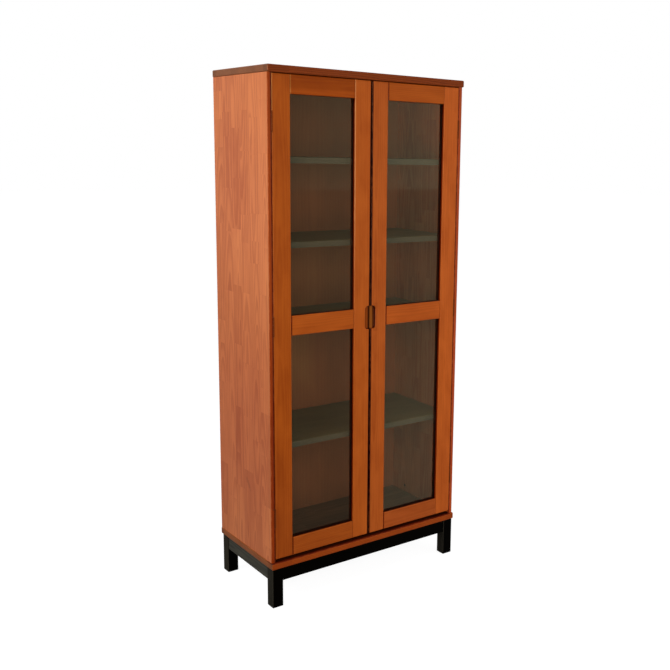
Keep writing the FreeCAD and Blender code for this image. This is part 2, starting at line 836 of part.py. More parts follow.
def save_base():
    """Legs, rails, glides, dowels and screws of the base."""
    for place, y0 in (("front", y_leg_front), ("back", y_leg_back - leg_s)):
        post = cut(leg(y0), right_dowel_holes + [glide_hole(y0)])
        save("leg_" + place + "_right", post)
        save("leg_" + place + "_left", mirrored(post))
    save("base_rail_front", long_rail(y_leg_front + rail_setback))
    save("base_rail_back", long_rail(y_leg_back - rail_setback - rail_t))
    side_rail = right_rail()
    save("base_rail_right", side_rail)
    save("base_rail_left", mirrored(side_rail))
    save("leg_glides", both([glide(y_leg_front), glide(y_leg_back - leg_s)]))
    save("base_dowels", both(right_base_dowels(0, 0)))
    save("base_screws", [base_screw(place) for place in base_screw_places()])


def save_hardware():
    """Hinge pieces fixed to the case, and the catches."""
    leaves = [leaf(z, x_in, x_in + leaf_t, 0, 1) for z in hinge_zs]
    pins = [hinge_pin(z) for z in hinge_zs]
    screws = leaf_screws(x_in, 1)
    for side, place in (("right", list), ("left", lambda s: [mirrored(one) for one in s])):
        save("case_leaves_" + side, place(leaves))
        save("hinge_pins_" + side, place(pins))
        save("case_leaf_screws_" + side, place(screws))
    save("magnetic_catches", both([catch_body()]))
    save("catch_screws", both([catch_screw(place) for place in catch_screw_places()]))


def save_doors():
    """Both doors: frame, glass, beads, hinge leaves, screws and strike plate."""
    pieces = {
        "hinge_stile": [hinge_stile()],
        "meeting_stile": [meeting_stile()],
        "top_rail": [door_rail("top_rail")],
        "mid_rail": [door_rail("mid_rail")],
        "bottom_rail": [door_rail("bottom_rail")],
        "upper_glass": [glass_pane("upper")],
        "lower_glass": [glass_pane("lower")],
        "glass_beads": beads("upper") + beads("lower"),
        "door_leaves": [leaf(z, x_door_out - leaf_t, x_door_out, 1, -1) for z in hinge_zs],
        "door_leaf_screws": leaf_screws(x_door_out, -1),
        "strike_plate": [strike_plate()],
        "strike_screw": [strike_screw()],
    }
    for name, solids in pieces.items():
        save("right_" + name, solids)
        save("left_" + name, [mirrored(solid) for solid in solids])


save_carcass()
save_base()
save_hardware()
save_doors()
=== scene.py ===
"""Looks of a tall bookcase: stained pine case and doors, smoked glass, black base."""
import math
from collections import namedtuple

import bpy
from mathutils import Matrix, Vector


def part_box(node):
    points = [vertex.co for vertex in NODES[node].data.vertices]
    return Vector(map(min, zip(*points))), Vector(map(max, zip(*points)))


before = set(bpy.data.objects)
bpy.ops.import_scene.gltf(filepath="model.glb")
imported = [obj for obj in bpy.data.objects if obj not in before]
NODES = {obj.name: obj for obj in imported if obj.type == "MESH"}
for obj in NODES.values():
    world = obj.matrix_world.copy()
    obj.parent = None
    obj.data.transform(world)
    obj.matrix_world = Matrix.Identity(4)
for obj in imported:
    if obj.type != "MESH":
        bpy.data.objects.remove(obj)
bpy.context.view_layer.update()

SIDES = ("left", "right")

# ---- stains and lacquers: linear colours -------------------------------------
DOOR_LIGHT = (0.560, 0.122, 0.016)
DOOR_DARK = (0.340, 0.058, 0.006)
SIDE_LIGHT = (0.650, 0.198, 0.064)
SIDE_DARK = (0.435, 0.104, 0.034)
CASE_LIGHT = (0.255, 0.046, 0.006)
CASE_DARK = (0.149, 0.024, 0.003)
BACK_LIGHT = (0.370, 0.120, 0.044)
BACK_DARK = (0.270, 0.081, 0.030)
SHELF_LIGHT = (0.155, 0.120, 0.056)
SHELF_DARK = (0.095, 0.077, 0.035)
PLINTH_LIGHT = (0.400, 0.070, 0.007)
PLINTH_DARK = (0.250, 0.036, 0.003)
BASE_LIGHT = (0.0014, 0.0009, 0.0004)
BASE_DARK = (0.0006, 0.0004, 0.0002)
BEECH_LIGHT = (0.560, 0.360, 0.190)
BEECH_DARK = (0.400, 0.240, 0.120)
LACQUER_LIGHT = (0.16, 0.030, 0.004)
LACQUER_DARK = (0.11, 0.020, 0.003)
ZINC_LIGHT = (0.60, 0.60, 0.58)
ZINC_DARK = (0.42, 0.42, 0.40)
CAM_LIGHT = (0.12, 0.055, 0.025)
CAM_DARK = (0.09, 0.040, 0.018)
CATCH_LIGHT = (0.050, 0.024, 0.012)
CATCH_DARK = (0.034, 0.016, 0.008)
NYLON_LIGHT = (0.012, 0.012, 0.012)
NYLON_DARK = (0.007, 0.007, 0.007)
GLASS_TINT_LIGHT = (0.86, 0.85, 0.78)
GLASS_TINT_DARK = (0.80, 0.79, 0.72)
GLASS_GLOSS = (1.0, 1.0, 0.62)         # what the room's mirror image takes on
GLASS_SHADOW = (0.94, 0.93, 0.90)
WHOLE = (1.0, 1.0, 1.0)                # keeps a colour as it is


class Graph:
    """A node tree with short calls for the nodes that the finishes use."""

    def __init__(self, tree):
        self.tree = tree

    def node(self, kind, **settings):
        """New node with its settings."""
        made = self.tree.nodes.new(kind)
        for key, value in settings.items():
            setattr(made, key, value)
        return made

    def feed(self, socket, value):
        """Join an output to a socket, or set the socket to a plain value."""
        if isinstance(value, bpy.types.NodeSocket):
            self.tree.links.new(value, socket)
        else:
            socket.default_value = value

    def math(self, operation, *values):
        """Result of one arithmetic step."""
        made = self.node("ShaderNodeMath", operation=operation)
        for socket, value in zip(made.inputs, values):
            self.feed(socket, value)
        return made.outputs[0]

    def around(self, value, middle, weight):
        """How far a value lies from a middle, times a weight."""
        return self.math("MULTIPLY", self.math("SUBTRACT", value, middle), weight)

    def vector(self, operation, *values):
        """Result of one step on vectors."""
        made = self.node("ShaderNodeVectorMath", operation=operation)
        for socket, value in zip(made.inputs, values):
            self.feed(socket, value)
        return made.outputs["Value" if operation == "LENGTH" else "Vector"]

    def stretched(self, vector, scale, shift):
        """A vector scaled along each axis, and then shifted."""
        return self.vector("ADD", self.vector("MULTIPLY", vector, scale), shift)

    def split(self, vector):
        """The three numbers of a vector."""
        made = self.node("ShaderNodeSeparateXYZ")
        self.feed(made.inputs[0], vector)
        return made.outputs

    def join(self, x, y, z):
        """A vector from three numbers."""
        made = self.node("ShaderNodeCombineXYZ")
        for socket, value in zip(made.inputs, (x, y, z)):
            self.feed(socket, value)
        return made.outputs[0]

    def smooth(self, value, low, high, first=0.0, last=1.0):
        """Smooth step from `first` at low to `last` at high."""
        made = self.node("ShaderNodeMapRange", interpolation_type="SMOOTHSTEP")
        for name, number in (("Value", value), ("From Min", low), ("From Max", high),
                             ("To Min", first), ("To Max", last)):
            self.feed(made.inputs[name], number)
        return made.outputs["Result"]

    def noise(self, vector, scale=1.0, detail=2.0, rough=0.5, twist=0.0):
        """Soft noise from 0 to 1."""
        made = self.node("ShaderNodeTexNoise")
        for name, number in (("Vector", vector), ("Scale", scale), ("Detail", detail),
                             ("Roughness", rough), ("Distortion", twist)):
            self.feed(made.inputs[name], number)
        return made.outputs[0]

    def chance(self, vector):
        """One random number for each whole vector."""
        made = self.node("ShaderNodeTexWhiteNoise", noise_dimensions="3D")
        self.feed(made.inputs["Vector"], vector)
        return made.outputs["Value"]

    def blend(self, share, first, second, way="MIX"):
        """Mix of two colours."""
        made = self.node("ShaderNodeMix", data_type="RGBA", blend_type=way)
        for socket, value in zip((made.inputs[0], made.inputs[6], made.inputs[7]),
                                 (share, first, second)):
            if isinstance(value, tuple):
                value = (*value, 1.0)
            self.feed(socket, value)
        return made.outputs[2]

    def stained(self, colour, kept, share):
        """Colour that keeps a share of each channel where a mask lays it on: staining, and
        painted light and shade alike.
        """
        return self.blend(share, colour, self.blend(1.0, colour, kept, "MULTIPLY"))

    def group(self, tree, **values):
        """A placed node group; inputs are named with underscores for spaces."""
        made = self.node("ShaderNodeGroup", node_tree=tree)
        for key, value in values.items():
            self.feed(made.inputs[key.replace("_", " ")], value)
        return made.outputs


def new_group(name, inputs, outputs):
    """Empty node group with named sockets: its graph, its input sockets and its output node."""
    tree = bpy.data.node_groups.new(name, "ShaderNodeTree")
    kinds = {"v": "NodeSocketVector", "f": "NodeSocketFloat"}
    for way, sockets in (("INPUT", inputs), ("OUTPUT", outputs)):
        for key, kind in sockets.items():
            tree.interface.new_socket(name=key, in_out=way, socket_type=kinds[kind])
    graph = Graph(tree)
    return graph, graph.node("NodeGroupInput").outputs, graph.node("NodeGroupOutput").inputs


# ---- effects shared by the finishes --------------------------------------------
# Figure of sawn pine: lengths in metres; scales of its noises per metre, given across,
# through and along the board.
PITH_ASIDE = 0.05                      # room for the pith line to lie off the middle
PITH_NEAREST = 0.012                   # its least depth below the middle
PITH_DEEPER = 0.05                     # room for more depth
LEVEL_DRAW = 0.35                      # random draw at which it runs level
RING_WANDER = 0.022                    # how far the rings stray from true shells
WANDER_SCALE = (9.0, 9.0, 2.2)
STREAK_SCALE = (620.0, 620.0, 9.0)
BAND_SCALE = (150.0, 150.0, 3.0)
CLOUD_SCALE = (20.0, 20.0, 7.0)
STREAK_SHARE, BAND_SHARE = 0.55, 0.45
NOISE_STEP = (13.7, 5.1, 9.3)          # how far each seed shifts the noises


def make_pine_figure():
    """Figure of a sawn board: growth rings are shells round a pith line that lies below the
    face and leans along the board, so that they cross the face as long arches."""
    g, given, out = new_group(
        "pine_figure",
        {"Place": "v", "Seed": "f", "Ring Gap": "f", "Lean": "f"},
        {"Rings": "f", "Fibre": "f", "Cloud": "f"})
    place, seed = given["Place"], given["Seed"]
    across, through, along = g.split(place)
    shift = g.vector("MULTIPLY", g.join(seed, seed, seed), NOISE_STEP)
    sideways, deeper, tilt = (g.chance(g.join(seed, draw, draw)) for draw in (1.5, 2.5, 3.5))
    slow = g.noise(g.stretched(place, WANDER_SCALE, shift), detail=3.0)
    wander = g.around(slow, 0.5, RING_WANDER)
    aside = g.around(sideways, 0.5, PITH_ASIDE)
    below = g.math("ADD", PITH_NEAREST, g.math("MULTIPLY", deeper, PITH_DEEPER))
    lean = g.around(tilt, LEVEL_DRAW, given["Lean"])
    depth = g.math("ADD", g.math("ADD", through, below), g.math("MULTIPLY", along, lean))
    radius = g.vector("LENGTH", g.join(g.math("ADD", across, aside), depth, 0.0))
    phase = g.math("FRACT", g.math("DIVIDE", g.math("ADD", radius, wander), given["Ring Gap"]))
    rise = g.smooth(phase, 0.10, 0.80)
    fall = g.smooth(phase, 0.88, 1.0, 1.0, 0.0)
    g.feed(out["Rings"], g.math("MULTIPLY", rise, fall))
    streaks = g.noise(g.stretched(place, STREAK_SCALE, shift), detail=3.0, rough=0.6)
    bands = g.noise(g.stretched(place, BAND_SCALE, shift), detail=2.0)
    g.feed(out["Fibre"], g.math("ADD", g.math("MULTIPLY", streaks, STREAK_SHARE),
                                g.math("MULTIPLY", bands, BAND_SHARE)))
    g.feed(out["Cloud"], g.noise(g.stretched(place, CLOUD_SCALE, shift), detail=3.0,
                                 rough=0.55, twist=0.4))
    return g.tree


# Lengths in a panel of staves, as shares of the usual length of one.
SHORTEST_STAVE = 0.72
LONGER_STAVE = 0.5                     # room for longer ones
START_ROOM = 7.0                       # room for where a column starts
JOINT_STRAY = 0.5                      # room for where each joint lies


def make_stave_layout():
    """Panel glued up from staves: columns of one width, cut into lengths that start at a
    random height in each column. Gives the place within the stave and its own number."""
    g, given, out = new_group(
        "stave_layout",
        {"Place": "v", "Stave Width": "f", "Stave Length": "f", "Glue Line": "f"},
        {"Place": "v", "Seed": "f", "Tone": "f", "Joint": "f"})
    across, through, along = g.split(given["Place"])
    width = given["Stave Width"]
    column = g.math("FLOOR", g.math("DIVIDE", across, width))
    start = g.chance(g.join(column, 0.5, 0.5))
    longer = g.math("MULTIPLY", g.chance(g.join(column, 1.5, 0.5)), LONGER_STAVE)
    length = g.math("MULTIPLY", given["Stave Length"], g.math("ADD", SHORTEST_STAVE, longer))
    raw = g.math("ADD", g.math("DIVIDE", along, length), g.math("MULTIPLY", start, START_ROOM))
    nudge = g.chance(g.join(column, g.math("ROUND", raw), 2.5))
    height = g.math("ADD", raw, g.around(nudge, 0.5, JOINT_STRAY))
    row = g.math("FLOOR", height)
    middle = g.math("ADD", column, 0.5)
    local_across = g.math("SUBTRACT", across, g.math("MULTIPLY", middle, width))
    local_along = g.around(g.math("SUBTRACT", height, row), 0.5, length)
    g.feed(out["Place"], g.join(local_across, through, local_along))
    g.feed(out["Seed"], g.math("ADD", g.math("MULTIPLY", column, 3.17),
                               g.math("MULTIPLY", row, 7.31)))
    g.feed(out["Tone"], g.chance(g.join(column, row, 4.5)))
    side_gap = g.math("SUBTRACT", g.math("MULTIPLY", width, 0.5),
                      g.math("ABSOLUTE", local_across))
    end_gap = g.math("SUBTRACT", g.math("MULTIPLY", length, 0.5),
                     g.math("ABSOLUTE", local_along))
    nearest = g.math("MINIMUM", side_gap, end_gap)
    g.feed(out["Joint"], g.smooth(nearest, 0.0, given["Glue Line"], 1.0, 0.0))
    return g.tree


def make_edge_wear():
    """Rubbed edges: the second smallest distance to the faces of the piece's box is small
    only near an edge; noise breaks the line up."""
    g, given, out = new_group(
        "edge_wear",
        {"Position": "v", "Centre": "v", "Half": "v", "Reach": "f"},
        {"Wear": "f"})
    inner = g.vector("ABSOLUTE", g.vector("SUBTRACT", given["Position"], given["Centre"]))
    a, b, c = g.split(g.vector("SUBTRACT", given["Half"], inner))
    low_pair = g.math("MINIMUM", g.math("MAXIMUM", a, b), g.math("MAXIMUM", b, c))
    second = g.math("MINIMUM", low_pair, g.math("MAXIMUM", a, c))
    near = g.smooth(second, 0.0, given["Reach"], 1.0, 0.0)
    rough_line = g.noise(given["Position"], scale=45.0, detail=4.0, rough=0.65)
    g.feed(out["Wear"], g.math("MULTIPLY", near, g.smooth(rough_line, 0.38, 0.68)))
    return g.tree


def make_knot():
    """Knot or mark of grain: an oval with a soft, ragged rim, turned as the vector Turn says."""
    g, given, out = new_group(
        "knot", {"Position": "v", "Centre": "v", "Turn": "v", "Reach": "v"}, {"Mask": "f"})
    turned = g.node("ShaderNodeVectorRotate", rotation_type="EULER_XYZ")
    g.feed(turned.inputs["Vector"], g.vector("SUBTRACT", given["Position"], given["Centre"]))
    g.feed(turned.inputs["Rotation"], given["Turn"])
    local = g.vector("DIVIDE", turned.outputs[0], given["Reach"])
    ragged = g.around(g.noise(given["Position"], scale=130.0, detail=3.0), 0.5, 0.9)
    distance = g.math("ADD", g.vector("LENGTH", local), ragged)
    g.feed(out["Mask"], g.smooth(distance, 0.35, 1.0, 1.0, 0.0))
    return g.tree


def make_narrow_face_shade():
    """Painted shade on the faces between a door member's front and its back: how far in each is
    from the front, 0 on the front and the back themselves, and a deeper painted shade towards
    the glass."""
    g, given, out = new_group(
        "narrow_face_shade", {"Position": "v", "Front": "f", "Back": "f"},
        {"Inward": "f", "Deep": "f"})
    behind = g.split(given["Position"])[1]
    depth = g.math("SUBTRACT", behind, given["Front"])
    room = g.math("SUBTRACT", given["Back"], behind)
    inward = g.smooth(depth, 0.0008, 0.0045)
    g.feed(out["Inward"], g.math("MULTIPLY", inward, g.smooth(room, 0.001, 0.003)))
    g.feed(out["Deep"], g.smooth(depth, 0.0070, 0.0110))
    return g.tree


def make_box_mask():
    """Inside of a box: 1 within it and 0 outside, with a rim that is as soft along each axis
    as the vector Rim says."""
    g, given, out = new_group(
        "box_mask", {"Position": "v", "Centre": "v", "Half": "v", "Rim": "v"}, {"Mask": "f"})
    inner = g.vector("ABSOLUTE", g.vector("SUBTRACT", given["Position"], given["Centre"]))
    past = g.vector("DIVIDE", g.vector("SUBTRACT", inner, given["Half"]), given["Rim"])
    a, b, c = g.split(past)
    outside = g.math("MAXIMUM", g.math("MAXIMUM", a, b), c)
    g.feed(out["Mask"], g.smooth(outside, -1.0, 1.0, 1.0, 0.0))
    return g.tree


def make_handling():
    """Slight unevenness of a finish: soft smears and fine scuffs."""
    g, given, out = new_group("handling", {"Position": "v"}, {"Smear": "f", "Scuff": "f"})
    g.feed(out["Smear"], g.noise(given["Position"], scale=7.0, detail=4.0, rough=0.6, twist=0.6))
    g.feed(out["Scuff"], g.noise(given["Position"], scale=420.0, detail=2.0))
    return g.tree


PINE_FIGURE = make_pine_figure()
STAVE_LAYOUT = make_stave_layout()
EDGE_WEAR = make_edge_wear()
KNOT = make_knot()
HANDLING = make_handling()
NARROW_FACE_SHADE = make_narrow_face_shade()
BOX_MASK = make_box_mask()


# ---- places on the pieces: metres -------------------------------------------------
FINE_RIM, SOFT_RIM = 0.0006, 0.001     # widths of the soft rims of most boxes of staining and painted light
# A box of staining, or of painted light and shade: its low and high corner, the width of its
# soft rim (one for all axes, or one for each), and the share that it keeps of each colour.
StainOrLight = namedtuple("StainOrLight", "low high rim kept")
# A knot: its middle, turn and reach, and how strongly it shows.
Knot = namedtuple("Knot", "middle turn reach strength")


def face(node, end, axis):
    """Where a node's box begins (end 0) or ends (end 1) along an axis, to a micrometre."""
    return round(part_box(node)[end]["xyz".index(axis)], 6)


# Planes clear of the pieces, where a stained box may end, and then faces of the pieces.
LEFT_OF_CASE, RIGHT_OF_CASE = -0.5, 0.5
BEFORE_CASE, BEHIND_CASE = -0.5, 0.5
BEFORE_DOORS, BEHIND_DOORS = -0.3, 0.0
BEHIND_BACK = 0.3
ABOVE_BOTTOM_BOARD = 0.2
BELOW_CASE, ABOVE_CASE = -0.5, 2.0
BOARD_LEFT = face("bottom_board", 0, "x")
BOARD_TOP = face("bottom_board", 1, "z")
OUTER_LEFT = face("side_panel_left", 0, "x")
INNER_LEFT = face("side_panel_left", 1, "x")
INNER_RIGHT = face("side_panel_right", 0, "x")
SHELF_FRONT = face("shelf_lower", 0, "y")
FRONT = face("left_hinge_stile", 0, "y")             # door fronts
DOORS_LEFT = face("left_hinge_stile", 0, "x")
DOORS_TOP = face("left_hinge_stile", 1, "z")
GAP_LEFT = face("left_meeting_stile", 1, "x")        # gap between the doors
GAP_RIGHT = face("right_meeting_stile", 0, "x")
RAIL_ENDS = {
    "left": (face("left_hinge_stile", 1, "x"), face("left_meeting_stile", 0, "x")),
    "right": (face("right_meeting_stile", 1, "x"), face("right_hinge_stile", 0, "x")),
}
PULL_LOW, PULL_HIGH = 0.951, 1.031     # finger pull's floor, bottom and top
PULL_REACH = 0.0205                    # half its width
PULL_DEPTH = 0.0095                    # just less than its depth behind the door fronts
PULL_ROUND = 0.01                      # room for the pull's round ends
PULL_FLOOR = ((-PULL_REACH, FRONT - 0.002, PULL_LOW), (PULL_REACH, FRONT + 0.010, PULL_HIGH))


def front_strip(left, right, depth, bottom=0.0, top=ABOVE_CASE):
    """Corners of an upright strip, from before the doors to a depth behind their fronts."""
    return (left, BEFORE_DOORS, bottom), (right, FRONT + depth, top)


def pull_strip(left, right, depth):
    """Corners of an upright strip of the finger pull, from a depth behind the door fronts."""
    return ((left, FRONT + depth, PULL_LOW - PULL_ROUND),
            (right, FRONT + PULL_DEPTH, PULL_HIGH + PULL_ROUND))


# ---- finishes ------------------------------------------------------------------
GRAIN_RELIEF = 0.00012                 # height of the wood's grain
SKIN_RELIEF = 0.00008                  # height of a moulded or lacquered skin
METAL_RELIEF = 0.00004                 # height of a plated skin
EDGE_REACH = 0.004                     # width of rubbed edges
GLUE_LINE = 0.0006                     # width of the lines between staves
GLUE_DARK = 0.35                       # how dark those lines are
GLUE_DENT = 0.8                        # how deep they are, as a share of the grain's relief
RING_DENT = 0.35                       # the same for the rings
PLAIN_SHADE = 0.45                     # share of the dark stain in wood without figure
RINGS_MIDDLE = 0.4                     # value of the rings that leaves that share as it is
KNOT_SHARE = 0.25                      # what a knot keeps of the dark stain
DEEP_PAINTED_SHADE = (0.03, 0.006, 0.003)      # painted shade that narrow faces and beads keep by the glass

# Glued-up staves: their width and length, and how far apart their tones lie.
Staves = namedtuple("Staves", "width length tones")
# Kinds of wood: how strongly rings, fibre and clouds show, the roughness, how far the pith
# line leans, the gap between rings, the staves, if any, how far edges are rubbed, the gloss.
Wood = namedtuple("Wood", "rings fibre cloud rough lean ring_gap staves wear gloss",
                  defaults=(0.5, 0.45, 0.6, 0.42, 0.03, 0.0045, None, 0.25, 0.5))


def new_finish(name):
    """Material with an empty tree: its graph, its surface shader and its object coordinates."""
    material = bpy.data.materials.new(name)
    material.use_nodes = True
    material.node_tree.nodes.clear()
    g = Graph(material.node_tree)
    shader = g.node("ShaderNodeBsdfPrincipled")
    output = g.node("ShaderNodeOutputMaterial")
    g.feed(output.inputs["Surface"], shader.outputs[0])
    position = g.node("ShaderNodeTexCoord").outputs["Object"]
    return material, g, shader.inputs, position


def put_on(node, material):
    """Give a node of the frame its finish."""
    slots = NODES[node].data.materials
    slots.clear()
    slots.append(material)


def centre_and_half(node):
    """Middle and half size of a node's box."""
    low, high = (Vector(corner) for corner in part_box(node))
    return tuple((low + high) / 2), tuple((high - low) / 2)


def scaled(colour, shares):
    """Colour with each channel times its share."""
    return tuple(channel * share for channel, share in zip(colour, shares))


def add_relief(g, shader, height, strength, distance):
    """Fine relief of a surface."""
    bump = g.node("ShaderNodeBump")
    bump.inputs["Strength"].default_value = strength
    bump.inputs["Distance"].default_value = distance
    g.feed(bump.inputs["Height"], height)
    g.feed(shader["Normal"], bump.outputs[0])


def box_mask(g, position, low, high, rim):
    """Share of a box between two corners, with a soft rim: one width, or one for each axis."""
    if not isinstance(rim, tuple):
        rim = (rim, rim, rim)
    centre = tuple((a + b) / 2 for a, b in zip(low, high))
    half = tuple((b - a) / 2 for a, b in zip(low, high))
    return g.group(BOX_MASK, Position=position, Centre=centre, Half=half, Rim=rim)["Mask"]


def narrow_face_painted_shade(g, position, centre, half, colour, kept):
    """Door member's colour with painted shade on its narrow faces, but for the finger pull's
    floor.
    """
    faces = g.group(NARROW_FACE_SHADE, Position=position, Front=centre[1] - half[1],
                    Back=centre[1] + half[1])
    off_floor = g.math("SUBTRACT", 1.0, box_mask(g, position, *PULL_FLOOR, 0.0005))
    inward = g.math("MULTIPLY", faces["Inward"], off_floor)
    return g.stained(colour, g.blend(faces["Deep"], kept, DEEP_PAINTED_SHADE), inward)


def knotted(g, position, colour, dark, knots):
    """Wood's colour with its knots."""
    burnt = tuple(channel * KNOT_SHARE for channel in dark)
    for knot in knots:
        mask = g.group(KNOT, Position=position, Centre=knot.middle, Turn=knot.turn,
                       Reach=knot.reach)["Mask"]
        colour = g.blend(g.math("MULTIPLY", mask, knot.strength), colour, burnt)
    return colour


def wood_figure(g, position, centre, grain, seed, kind):
    """Figure of a board or of glued-up staves: its shade, 0 for light and 1 for dark, its
    relief, its fibre, and the joints between the staves, which are None on a board."""
    parts = g.split(g.vector("SUBTRACT", position, centre))
    place = g.join(*(parts["xyz".index(axis)] for axis in grain))
    number, joint = float(seed), None
    if kind.staves:
        layout = g.group(STAVE_LAYOUT, Place=place, Stave_Width=kind.staves.width,
                         Stave_Length=kind.staves.length, Glue_Line=GLUE_LINE)
        place, joint = layout["Place"], layout["Joint"]
        number = g.math("ADD", layout["Seed"], number)
    figure = g.group(PINE_FIGURE, Place=place, Seed=number, Ring_Gap=kind.ring_gap,
                     Lean=kind.lean)
    fibre = figure["Fibre"]
    shade = g.math("ADD", PLAIN_SHADE, g.around(figure["Rings"], RINGS_MIDDLE, kind.rings))
    shade = g.math("ADD", shade, g.around(fibre, 0.5, kind.fibre))
    shade = g.math("ADD", shade, g.around(figure["Cloud"], 0.5, kind.cloud))
    relief = g.math("SUBTRACT", fibre, g.math("MULTIPLY", figure["Rings"], RING_DENT))
    if kind.staves:
        shade = g.math("ADD", shade, g.around(layout["Tone"], 0.5, kind.staves.tones))
        relief = g.math("SUBTRACT", relief, g.math("MULTIPLY", joint, GLUE_DENT))
    return g.smooth(shade, 0.0, 1.0), relief, fibre, joint


def wood(node, grain, light, dark, seed, kind, tone=WHOLE, stains_and_light=(), narrow=None, knots=()):
    """Stained and lacquered wood on one node. `grain` names the axes across, through and along
    the board, and `tone` is the node's share of each colour. `narrow` is the share of each
    colour that a door member's narrow faces keep as painted shade."""
    material, g, shader, position = new_finish("wood_" + node)
    centre, half = centre_and_half(node)
    light, dark = scaled(light, tone), scaled(dark, tone)
    shade, relief, fibre, joint = wood_figure(g, position, centre, grain, seed, kind)
    colour = g.blend(shade, light, dark)
    if kind.staves:
        colour = g.blend(g.math("MULTIPLY", joint, GLUE_DARK), colour, dark)
    if narrow:
        colour = narrow_face_painted_shade(g, position, centre, half, colour, narrow)
    for patch in stains_and_light:
        mask = box_mask(g, position, patch.low, patch.high, patch.rim)
        colour = g.stained(colour, patch.kept, mask)
    colour = knotted(g, position, colour, dark, knots)
    wear_and_sheen = g.group(EDGE_WEAR, Position=position, Centre=centre, Half=half,
                     Reach=EDGE_REACH)["Wear"]
    worn = tuple(min(1.0, channel * 1.45 + 0.012) for channel in light)
    colour = g.blend(g.math("MULTIPLY", wear_and_sheen, kind.wear), colour, worn)
    g.feed(shader["Base Color"], colour)
    smear = g.group(HANDLING, Position=position)["Smear"]
    roughness = g.math("ADD", kind.rough - 0.06, g.math("MULTIPLY", smear, 0.10))
    roughness = g.math("ADD", roughness, g.math("MULTIPLY", fibre, 0.05))
    g.feed(shader["Roughness"], roughness)
    shader["Specular IOR Level"].default_value = kind.gloss
    add_relief(g, shader, relief, 0.5, GRAIN_RELIEF)
    put_on(node, material)


def metal(name, nodes, light, dark, rough):
    """Plated metal: cloudy colour, uneven gloss and a fine skin."""
    material, g, shader, position = new_finish(name)
    marks = g.group(HANDLING, Position=position)
    spots = g.noise(position, scale=160.0, detail=4.0, rough=0.6)
    share = g.math("MULTIPLY", g.math("ADD", marks["Smear"], spots), 0.5)
    g.feed(shader["Base Color"], g.blend(g.smooth(share, 0.3, 0.7), light, dark))
    shader["Metallic"].default_value = 1.0
    g.feed(shader["Roughness"], g.math("ADD", rough, g.math("MULTIPLY", share, 0.18)))
    add_relief(g, shader, marks["Scuff"], 0.4, METAL_RELIEF)
    for node in nodes:
        put_on(node, material)


def skin(name, nodes, light, dark, rough, gloss=0.5):
    """Lacquered metal or moulded plastic: a cloudy colour and a fine-grained skin."""
    material, g, shader, position = new_finish(name)
    marks = g.group(HANDLING, Position=position)
    g.feed(shader["Base Color"], g.blend(marks["Smear"], light, dark))
    g.feed(shader["Roughness"], g.math("ADD", rough, g.math("MULTIPLY", marks["Scuff"], 0.2)))
    shader["Specular IOR Level"].default_value = gloss
    add_relief(g, shader, g.noise(position, scale=1400.0, detail=2.0), 0.5, SKIN_RELIEF)
    for node in nodes:
        put_on(node, material)


def smoked_glass(nodes):
    """Float glass with a slight smoke tint and faint wipe marks; lamps shine through it."""
    material, g, shader, position = new_finish("smoked_glass")
    smear = g.group(HANDLING, Position=position)["Smear"]
    g.feed(shader["Base Color"], g.blend(smear, GLASS_TINT_LIGHT, GLASS_TINT_DARK))
    shader["Transmission Weight"].default_value = 1.0
    shader["IOR"].default_value = 1.5
    shader["Specular Tint"].default_value = (*GLASS_GLOSS, 1.0)
    g.feed(shader["Roughness"], g.smooth(smear, 0.45, 0.8, 0.0, 0.03))
    surface = g.tree.nodes["Material Output"].inputs["Surface"]
    body = surface.links[0].from_socket
    clear = g.node("ShaderNodeBsdfTransparent")
    clear.inputs["Color"].default_value = (*GLASS_SHADOW, 1.0)
    mix = g.node("ShaderNodeMixShader")
    g.feed(mix.inputs[0], g.node("ShaderNodeLightPath").outputs["Is Shadow Ray"])
    g.feed(mix.inputs[1], body)
    g.feed(mix.inputs[2], clear.outputs[0])
    g.feed(surface, mix.outputs[0])
    for node in nodes:
        put_on(node, material)


# ---- case ------------------------------------------------------------------------
BOARD_WOOD = Wood(staves=Staves(0.057, 0.46, 0.5), wear=0.3, gloss=0.10)
SIDE_WOOD = Wood(rings=0.34, fibre=0.34, cloud=0.75, rough=0.40, lean=0.13, ring_gap=0.0080,
                 staves=Staves(0.065, 0.30, 0.42), wear=0.2, gloss=0.13)
BACK_WOOD = Wood(rings=0.2, fibre=0.12, rough=0.5, lean=0.01, ring_gap=0.012)
SHELF_WOOD = Wood(rings=0.3, rough=0.48, staves=Staves(0.06, 0.5, 0.3))

BOARD_LEFT_END = ((LEFT_OF_CASE, BEFORE_CASE, 0.0),
                  (BOARD_LEFT + 0.0015, BEHIND_CASE, ABOVE_CASE))
# painted sheen: the left end paler and whiter
TOP_BOARD_PAINTED_SHEEN = (
    StainOrLight(*BOARD_LEFT_END, SOFT_RIM, (0.92, 1.8, 5.0)),
)
BOTTOM_BOARD_STAINS_AND_LIGHT = (                # inside, dark like the shelves; left end paler and whiter, a painted sheen; painted shade below the doors
    StainOrLight((INNER_LEFT, FRONT + 0.001, BOARD_TOP - 0.0015),
          (INNER_RIGHT, BEHIND_BACK, ABOVE_BOTTOM_BOARD), SOFT_RIM, (0.46, 0.95, 4.2)),
    StainOrLight(*BOARD_LEFT_END, SOFT_RIM, (0.72, 1.25, 3.5)),
    StainOrLight((LEFT_OF_CASE, BEFORE_CASE, BOARD_TOP - 0.0025),
          (INNER_RIGHT, FRONT + 0.028, ABOVE_BOTTOM_BOARD), 0.0008, (0.30, 0.12, 0.05)),
)
RIGHT_LINING = (INNER_RIGHT - 0.004, INNER_RIGHT + 0.0006)   # right side panel's inner face
